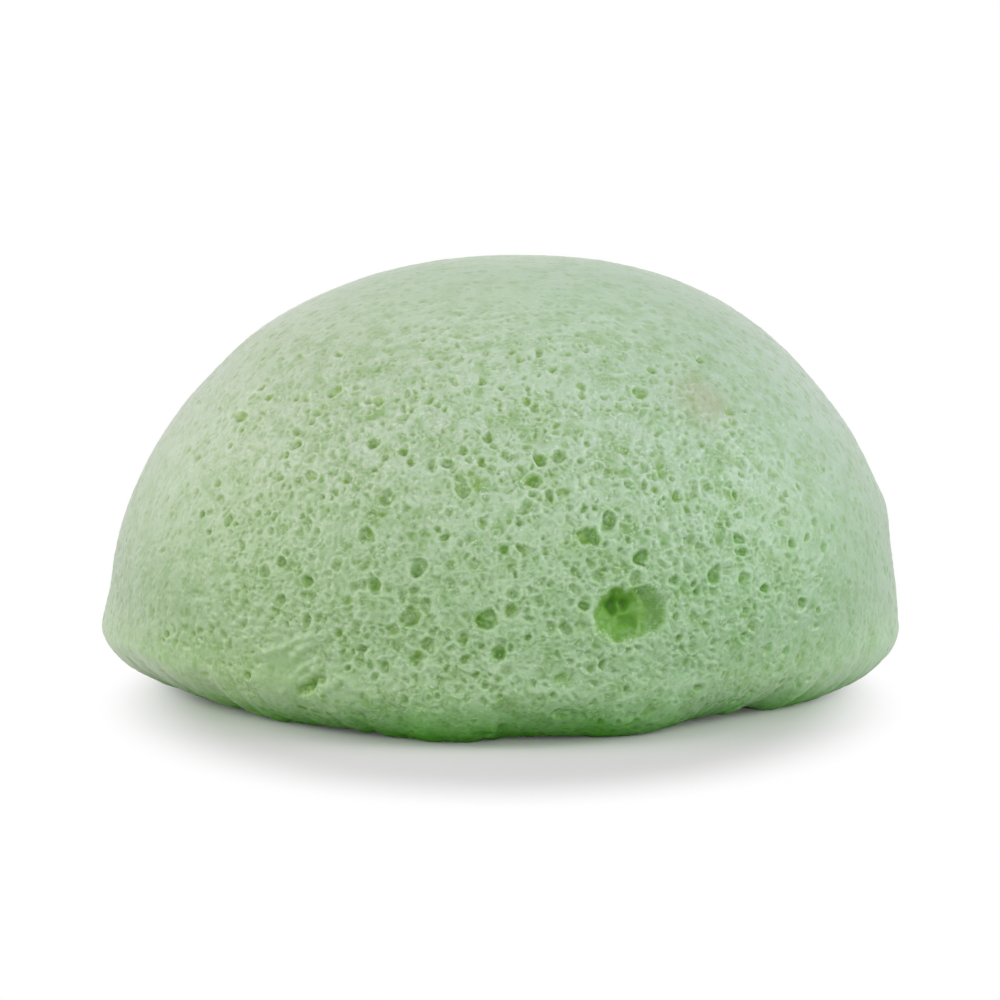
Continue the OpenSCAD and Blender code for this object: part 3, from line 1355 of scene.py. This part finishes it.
@dataclass
class SurfacePainter(NodePainter):
    """Adds the nodes of a material that changes from place to place.

    Attributes:
        place: Where the surface lies.
        x: How far to the right that is.
        z: How high that is.
    """

    def __post_init__(self) -> None:
        """Read where the surface lies."""
        self.place = self.tree.nodes.new("ShaderNodeTexCoord").outputs["Object"]
        axes = self.tree.nodes.new("ShaderNodeSeparateXYZ")
        self.tree.links.new(self.place, axes.inputs["Vector"])
        self.x = axes.outputs["X"]
        self.z = axes.outputs["Z"]

    def noise(self, spots: SoftSpots) -> Socket:
        """Make soft noise.

        Args:
            spots: The size and detail of the noise.

        Returns:
            A value from 0 to 1.
        """
        node = self.tree.nodes.new("ShaderNodeTexNoise")
        node.inputs["Scale"].default_value = 1.0 / (spots.length_mm * MM)
        node.inputs["Detail"].default_value = spots.detail
        self.tree.links.new(self.place, node.inputs["Vector"])
        return node.outputs["Fac"]

    def soft_spots(self, spots: SoftSpots) -> Socket:
        """Make soft noise and turn it into a mask."""
        return self.eased(self.noise(spots), spots.mask)

    def round_spots(self, spots: RoundSpots) -> Socket:
        """Make soft round spots in some of the cells.

        Args:
            spots: The cells and their spots.

        Returns:
            A share from 0 to 1.
        """
        node = self.tree.nodes.new("ShaderNodeTexVoronoi")
        node.inputs["Scale"].default_value = 1.0 / (spots.length_mm * MM)
        self.tree.links.new(self.place, node.inputs["Vector"])
        chance = self.tree.nodes.new("ShaderNodeSeparateColor")
        self.tree.links.new(node.outputs["Color"], chance.inputs["Color"])
        limit = 1.0 - spots.part
        present = self.eased(chance.outputs["Red"], Ease(limit - spots.blur, limit + spots.blur))
        return self.times(self.eased(node.outputs["Distance"], spots.edge), present)


@dataclass(frozen=True)
class KonjacFinish:
    """Moist konjac foam: pale mint walls with painted highlight, painted glints, green cells that darken in
    deep hollows as painted shade, a see-through body, and painted shade, dark and green, along the lower
    edge.

    Attributes:
        wall: The colour of the walls between cells, partly their own pale colour and partly painted highlight
            on raised rims and ridges.
        glint: The colour of the painted glints, specks of painted highlight drawn as broken fine lines.
        skin: The colour of the skin.
        window: The colour of closed cells that show through the skin.
        floor_greens_and_shade: The colours of a cell's floor, by its depth: greener and darker the deeper it
            is, where the darkening is painted shade.
        floor: How much of the floor's colour there is, by the depth.
        wall_and_highlight_part: How much of the wall's colour, with its painted highlight, there is on a
            wall.
        glint_part: How much of the painted glints' colour there is on their lines.
        glint_lines: The noise that the painted glints are drawn from; the bump raises the same lines as fine
            walls.
        whole_glint_lines: The noise that breaks them up.
        glint_line_depth: How much of them there is, by the depth.
        spots: The closed cells that show through the skin, in two sizes.
        spot_relief: How strongly they show, by the relief.
        mottling: The noise of greener and paler patches.
        mottling_relief: How strongly it shows, by the relief.
        side_tints_and_sheen: What the colour is multiplied by, from place to place along X in mm: warmer to
            the left and cooler to the right, with paler ends at both sides that are painted sheen.
        crown_shade: The painted shade at the crown, which darkens the colour there.
        crown_shade_h: How much of that painted shade there is, by the height in mm.
        lower_tint: What it is multiplied by on the lower half, darker and greener towards the bottom.
        lower_tint_h: How much of that there is, by the height in mm.
        rim: The painted light at both ends of the lower edge, which lightens the colour there.
        edge_end_light_h: How much of that painted light there is, by the height in mm.
        edge_end_light_x2: How much of that painted light there is, by the square of the distance from the
            middle in mm.
        low_edge_shade: The painted shade, dark and green, along the lower edge near the table.
        low_edge_shade_h: How much of that painted shade there is, by the height in mm.
        low_edge_shade_curve: How fast the painted shade's top gets lower to the sides, in mm of height for a
            square mm of distance.
        low_edge_shade_waves: The noise by which the painted shade's height varies.
        low_edge_shade_drift: How much it varies, in mm.
        stain: The colour of the tan stain.
        stain_part: How much of that colour there is.
        roughness: The roughness of the skin.
        subsurface: How much of the light goes through the gel.
        subsurface_mm: How far that light goes.
        subsurface_shares: How far its red, green and blue go, as shares of that.
        sheen: How much the fine hairs of the foam catch light, by the depth.
        sheen_roughness: How softly they do.
        specular: How much the wet gel mirrors, by the depth.
        under_h: How much of both there is near the table, by the height in mm.
        dull_h: How much of both there is at the crown, by the height in mm.
        grain: The noise of the finest grain.
        grain_part: How high that grain is, where the finest walls have 1.
        grain_mm: How high the finest walls are, in mm.
        grain_strength: How strongly both show.
    """

    # Pale walls: partly their own colour, partly painted highlight on raised rims and ridges
    wall: Colour = linear(220, 236, 220)
    # Painted highlight: the colour of the glints on the finest walls
    glint: Colour = linear(232, 246, 236)
    skin: Colour = linear(191, 218, 181)
    window: Colour = linear(146, 188, 108)
    # Greener and darker with depth; the darkening in the deepest hollows is painted shade
    floor_greens_and_shade: tuple[tuple[float, Colour], ...] = (
        (0.07, linear(154, 195, 95)),
        (0.38, linear(142, 192, 80)),
        (0.78, linear(82, 142, 48)),
    )
    floor: Ease = Ease(0.0, 0.09)
    wall_and_highlight_part: float = 0.6
    glint_part: float = 0.75
    glint_lines: SoftSpots = SoftSpots(0.30, 1.0, Ease(0.54, 0.72))
    whole_glint_lines: SoftSpots = SoftSpots(1.3, 2.0, Ease(0.42, 0.62, 0.2, 1.0))
    glint_line_depth: Ease = Ease(0.15, 0.40, 1.0, 0.1)
    spots: tuple[RoundSpots, RoundSpots] = (RoundSpots(1.5, 0.40), RoundSpots(0.8, 0.35))
    spot_relief: Ease = Ease(0.2, 1.0, 0.5, 0.95)
    mottling: SoftSpots = SoftSpots(2.2, 2.5, Ease(0.42, 0.68, 0.0, 0.9))
    mottling_relief: Ease = Ease(0.1, 1.0, 0.3, 1.0)
    # Warmer to the left, cooler to the right; the paler ends at both sides are painted sheen
    side_tints_and_sheen: tuple[tuple[float, Colour], ...] = (
        (-38.0, (1.06, 0.96, 1.03, 1.0)),
        (-24.0, (1.02, 0.96, 0.93, 1.0)),
        (0.0, (1.00, 1.00, 0.99, 1.0)),
        (20.0, (0.92, 0.97, 0.99, 1.0)),
        (37.0, (1.05, 1.05, 1.24, 1.0)),
    )
    # Painted shade at the crown, which darkens the colour there
    crown_shade: Colour = (0.90, 0.94, 0.93, 1.0)
    crown_shade_h: Ease = Ease(36.0, 42.0)
    # Darker and greener towards the bottom
    lower_tint: Colour = (0.76, 0.88, 0.68, 1.0)
    lower_tint_h: Ease = Ease(12.0, 32.0, 1.0, 0.0)
    # Painted light at both ends of the lower edge
    rim: Colour = (1.20, 1.22, 1.10, 1.0)
    edge_end_light_h: Ease = Ease(3.0, 11.0, 1.0, 0.0)
    edge_end_light_x2: Ease = Ease(12.0**2, 28.0**2)
    # Painted shade, dark and green, along the lower edge near the table
    low_edge_shade: Colour = (0.30, 0.78, 0.11, 1.0)
    low_edge_shade_h: Ease = Ease(1.5, 8.0, 1.0, 0.0)
    low_edge_shade_curve: float = 0.0022
    low_edge_shade_waves: SoftSpots = SoftSpots(6.0, 2.0)
    low_edge_shade_drift: float = 4.0
    stain: Colour = linear(190, 189, 152)
    stain_part: float = 0.85
    roughness: float = 0.36
    subsurface: float = 0.85
    subsurface_mm: float = 1.5
    subsurface_shares: tuple[float, float, float] = (0.8, 1.0, 0.6)
    sheen: Ease = Ease(0.0, 0.15, 0.5, 0.0)
    sheen_roughness: float = 0.45
    specular: Ease = Ease(0.15, 0.55, 0.5, 0.2)
    under_h: Ease = Ease(0.5, 6.0)
    dull_h: Ease = Ease(36.5, 42.0, 1.0, 0.4)
    grain: SoftSpots = SoftSpots(0.35, 3.0)
    grain_part: float = 0.8
    grain_mm: float = 0.12
    grain_strength: float = 0.35

    def material(self) -> bpy.types.Material:
        """Build the material.

        Returns:
            The finished material.
        """
        material = bpy.data.materials.new("konjac_foam")
        material.use_nodes = True
        paint = SurfacePainter(material.node_tree)
        glint_lines = self.glint_line_mask(paint)
        depth = paint.attribute("cell_depth")
        shown = paint.times(paint.eased(paint.z, self.under_h, MM), paint.eased(paint.z, self.dull_h, MM))
        values = {
            "Base Color": self.place_colour(paint, self.cell_colour(paint, glint_lines)),
            "Normal": self.grain_normal(paint, glint_lines),
            "Roughness": self.roughness,
            "Subsurface Weight": self.subsurface,
            "Subsurface Radius": self.subsurface_shares,
            "Subsurface Scale": self.subsurface_mm * MM,
            "Sheen Weight": paint.times(paint.eased(depth, self.sheen), shown),
            "Sheen Roughness": self.sheen_roughness,
            "Specular IOR Level": paint.times(paint.eased(depth, self.specular), shown),
        }
        for name, value in values.items():
            paint.fill(paint.tree.nodes["Principled BSDF"].inputs[name], value)
        return material

    def glint_line_mask(self, paint: SurfacePainter) -> Socket:
        """Give the broken lines of the painted glints, which the bump also raises as fine walls, fewer in
        deep cells and where the foam is calm.

        Args:
            paint: Adds the nodes.

        Returns:
            A share from 0 to 1.
        """
        broken = paint.times(paint.soft_spots(self.glint_lines), paint.soft_spots(self.whole_glint_lines))
        broken = paint.times(broken, paint.eased(paint.attribute("cell_depth"), self.glint_line_depth))
        return paint.times(broken, paint.attribute("cell_relief"))

    def cell_colour(self, paint: SurfacePainter, glint_lines: Socket) -> Socket:
        """Colour the cells by their depth, darker in deep hollows as painted shade, the closed cells under
        the skin, the walls between them with their painted highlight, and the painted glints.

        Args:
            paint: Adds the nodes.
            glint_lines: The lines of the painted glints.

        Returns:
            The colour.
        """
        relief = paint.attribute("cell_relief")
        depth = paint.attribute("cell_depth")
        spots = paint.sum_of("MAXIMUM", *(paint.round_spots(size) for size in self.spots))
        spots = paint.times(spots, paint.eased(relief, self.spot_relief))
        mottled = paint.times(paint.soft_spots(self.mottling), paint.eased(relief, self.mottling_relief))
        skin = paint.mixed(paint.sum_of("MAXIMUM", spots, mottled), self.skin, self.window)
        # Cell floors by depth; the darkening in deep hollows is painted shade
        colour = paint.mixed(paint.eased(depth, self.floor), skin, paint.ramp(depth, self.floor_greens_and_shade))
        # Pale walls with painted highlight on raised rims and ridges
        colour = paint.mixed(paint.times(paint.attribute("cell_wall_and_highlight"), self.wall_and_highlight_part), colour, self.wall)
        # Painted glints
        return paint.mixed(paint.times(glint_lines, self.glint_part), colour, self.glint)

    def place_colour(self, paint: SurfacePainter, colour: Socket) -> Socket:
        """Shift the colour from side to side with painted sheen at both ends, darken the crown with painted
        shade, darken and green it towards the bottom, lighten both ends of the lower edge with painted light,
        lay painted shade along the lower edge, and mix in the stain.

        Args:
            paint: Adds the nodes.
            colour: The colour so far.

        Returns:
            The shifted colour.
        """
        x, z = paint.x, paint.z
        first = self.side_tints_and_sheen[0][0]
        span = self.side_tints_and_sheen[-1][0] - first
        across = paint.sum_of("DIVIDE", paint.sum_of("SUBTRACT", x, first * MM), span * MM)
        side_tints_and_sheen = tuple(((x_mm - first) / span, tint) for x_mm, tint in self.side_tints_and_sheen)
        # Warmer to the left, cooler to the right; the paler ends at both sides are painted sheen
        colour = paint.tinted(1.0, colour, paint.ramp(across, side_tints_and_sheen))
        # Painted shade at the crown
        colour = paint.tinted(paint.eased(z, self.crown_shade_h, MM), colour, self.crown_shade)
        # Darker and greener towards the bottom
        colour = paint.tinted(paint.eased(z, self.lower_tint_h, MM), colour, self.lower_tint)
        sideways = paint.times(x, x)
        # Painted light at both ends of the lower edge, lightening the shaded underside there
        ends = paint.times(paint.eased(z, self.edge_end_light_h, MM), paint.eased(sideways, self.edge_end_light_x2, MM**2))
        colour = paint.tinted(ends, colour, self.rim)
        # Painted shade, dark and green, along the lower edge near the table
        drift = paint.times(paint.noise(self.low_edge_shade_waves), self.low_edge_shade_drift * MM)
        height = paint.sum_of("ADD", z, drift)
        height = paint.sum_of("ADD", height, paint.times(sideways, self.low_edge_shade_curve / MM))
        colour = paint.tinted(paint.eased(height, self.low_edge_shade_h, MM), colour, self.low_edge_shade)
        stained = paint.times(paint.attribute("skin_stain"), self.stain_part)
        return paint.mixed(stained, colour, self.stain)

    def grain_normal(self, paint: SurfacePainter, glint_lines: Socket) -> Socket:
        """Raise the finest walls and the grain of the gel.

        Args:
            paint: Adds the nodes.
            glint_lines: The lines of the painted glints, raised here as fine walls.

        Returns:
            The normal.
        """
        grain = paint.times(paint.noise(self.grain), self.grain_part)
        bump = paint.tree.nodes.new("ShaderNodeBump")
        paint.fill(bump.inputs["Strength"], paint.times(paint.attribute("cell_relief"), self.grain_strength))
        paint.fill(bump.inputs["Distance"], self.grain_mm * MM)
        paint.fill(bump.inputs["Height"], paint.sum_of("ADD", glint_lines, grain))
        return bump.outputs["Normal"]


@dataclass(frozen=True)
class Softbox:
    """A soft studio lamp that points at the sponge.

    Attributes:
        name: Its name.
        place: Its place in mm.
        size: Its width and height in mm.
        power: Its power in watts.
    """

    name: str
    place: tuple[float, float, float]
    size: tuple[float, float]
    power: float


@dataclass
class Studio:
    """The white table, the soft light and the camera at the photograph's angle.

    Attributes:
        camera_tilt: How far the camera looks down, in degrees.
        camera_away: Its distance from what it aims at, in mm.
        aim: What it aims at, in mm.
        pixels_per_mm: How large a millimetre is there, on a picture of picture_w pixels.
        picture_w: The picture's width in pixels.
        sensor_w: The width of the camera's sensor in mm.
        clip: The nearest and the farthest that the camera sees, in mm.
        table_reach: How far the table reaches to each side, in mm.
        white: The colour of the table where it is seen.
        bounce: How much light the table throws back onto the sponge.
        shadow_y: How far behind the origin the middle of the table's shadow lies, in mm.
        shadow_narrow: How much faster the shadow fades to the sides than to the front.
        shadow_fade: How much of the shadow has gone, by the distance from that middle in mm.
        sky: The strength of the light from all round.
        lamps: The soft lamps.
    """

    camera_tilt: float = 8.0
    camera_away: float = 450.0
    aim: tuple[float, float, float] = (-0.13, 0.0, 17.9)
    pixels_per_mm: float = 9.94
    picture_w: float = 1000.0
    sensor_w: float = 36.0
    clip: tuple[float, float] = (10.0, 20000.0)
    table_reach: float = 6000.0
    white: Colour = (1.0, 0.965, 1.0, 1.0)
    bounce: float = 0.45
    shadow_y: float = -12.0
    shadow_narrow: float = 1.35
    shadow_fade: Ease = Ease(38.0, 54.0, 0.03, 1.0)
    sky: float = 0.2
    lamps: tuple[Softbox, ...] = (
        Softbox("back_softbox", (0.0, 600.0, 700.0), (600.0, 400.0), 0.6),
        Softbox("top_softbox", (0.0, -250.0, 880.0), (600.0, 400.0), 0.4),
        Softbox("back_left_softbox", (-700.0, 450.0, 300.0), (500.0, 500.0), 0.9),
        Softbox("left_softbox", (-850.0, -150.0, 350.0), (600.0, 600.0), 3.2),
        Softbox("right_softbox", (850.0, -150.0, 350.0), (600.0, 600.0), 3.7),
        Softbox("front_softbox", (0.0, -870.0, 300.0), (600.0, 400.0), 2.65),
    )

    def add_camera(self) -> None:
        """Put the camera where the photograph was taken from."""
        data = bpy.data.cameras.new("camera")
        data.sensor_width = self.sensor_w
        data.lens = self.pixels_per_mm * self.camera_away / self.picture_w * self.sensor_w
        data.clip_start = self.clip[0] * MM
        data.clip_end = self.clip[1] * MM
        camera = bpy.data.objects.new("camera", data)
        tilt = math.radians(self.camera_tilt)
        back = Vector((0.0, -math.cos(tilt), math.sin(tilt)))
        camera.location = (Vector(self.aim) + back * self.camera_away) * MM
        camera.rotation_euler = (QUARTER_TURN - tilt, 0.0, 0.0)
        bpy.context.scene.collection.objects.link(camera)
        bpy.context.scene.camera = camera

    def add_floor(self) -> None:
        """Lay the white table, which keeps the sponge's soft shadow."""
        floor = bmesh.new()
        bmesh.ops.create_grid(floor, x_segments=1, y_segments=1, size=self.table_reach * MM)
        mesh = bpy.data.meshes.new("table")
        floor.to_mesh(mesh)
        floor.free()
        table = bpy.data.objects.new("table", mesh)
        bpy.context.scene.collection.objects.link(table)
        mesh.materials.append(self.table_material())
        table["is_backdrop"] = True

    def table_material(self) -> bpy.types.Material:
        """Make the table white where it is seen, with little light thrown back onto the sponge.

        Returns:
            The finished material.
        """
        material = bpy.data.materials.new("table_white")
        material.use_nodes = True
        tree = material.node_tree
        tree.nodes.clear()
        paint = NodePainter(tree)
        seen = paint.seen_rays()
        white, bounce = (tree.nodes.new("ShaderNodeBsdfDiffuse") for _ in range(2))
        white.inputs["Color"].default_value = self.white
        bounce.inputs["Color"].default_value = (self.bounce, self.bounce, self.bounce, 1.0)
        narrow, away = (tree.nodes.new("ShaderNodeVectorMath") for _ in range(2))
        narrow.operation = "MULTIPLY"
        narrow.inputs[1].default_value = (self.shadow_narrow, 1.0, 1.0)
        away.operation = "DISTANCE"
        away.inputs[1].default_value = (0.0, self.shadow_y * MM, 0.0)
        paint.fill(narrow.inputs[0], tree.nodes.new("ShaderNodeTexCoord").outputs["Object"])
        paint.fill(away.inputs[0], narrow.outputs["Vector"])
        gone = paint.times(paint.eased(away.outputs["Value"], self.shadow_fade, MM), seen)
        near = paint.mixed_shader(seen, bounce.outputs["BSDF"], white.outputs["BSDF"])
        far = paint.mixed_shader(gone, near, tree.nodes.new("ShaderNodeEmission").outputs["Emission"])
        paint.fill(tree.nodes.new("ShaderNodeOutputMaterial").inputs["Surface"], far)
        return material

    def add_light(self) -> None:
        """Light the sponge softly from all round, and with lamps from above and from each side."""
        world = bpy.data.worlds.new("studio")
        bpy.context.scene.world = world
        world.use_nodes = True
        paint = NodePainter(world.node_tree)
        background = world.node_tree.nodes["Background"]
        background.inputs["Color"].default_value = (1.0, 1.0, 1.0, 1.0)
        strength = paint.eased(paint.seen_rays(), Ease(0.0, 1.0, self.sky, 1.0))
        paint.fill(background.inputs["Strength"], strength)
        for lamp in self.lamps:
            self.add_lamp(lamp)

    def add_lamp(self, lamp: Softbox) -> None:
        """Set up a soft lamp and point it at the sponge.

        Args:
            lamp: The lamp.
        """
        data = bpy.data.lights.new(lamp.name, "AREA")
        data.shape = "RECTANGLE"
        data.size = lamp.size[0] * MM
        data.size_y = lamp.size[1] * MM
        data.energy = lamp.power
        light = bpy.data.objects.new(lamp.name, data)
        place = Vector(lamp.place) * MM
        aimed = (Vector(self.aim) * MM - place).to_track_quat("-Z", "Y").to_matrix().to_4x4()
        light.matrix_world = Matrix.Translation(place) @ aimed
        bpy.context.scene.collection.objects.link(light)


def read_box() -> list[list[float]]:
    """Give the whole object's lowest and highest corners as plain lists."""
    return [[float(value) for value in corner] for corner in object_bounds()]


def main() -> None:
    """Build the sponge and its studio."""
    logging.basicConfig(level=logging.INFO, format="%(name)s: %(message)s")
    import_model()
    solid_box = read_box()
    size = [(high - low) / MM for low, high in zip(*solid_box)]
    studio = Studio()
    studio.add_camera()
    studio.add_floor()
    studio.add_light()
    sponge = SpongeBody(SpongeForm(*size))
    piece = sponge.build()
    piece.data.materials.append(KonjacFinish().material())
    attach(piece, "root")
    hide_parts("sponge_body")
    LOG.info("%s: %d triangles", piece.name, len(piece.data.polygons))
    bpy.context.scene.view_settings.view_transform = "Standard"


if __name__ == "__main__":
    main()
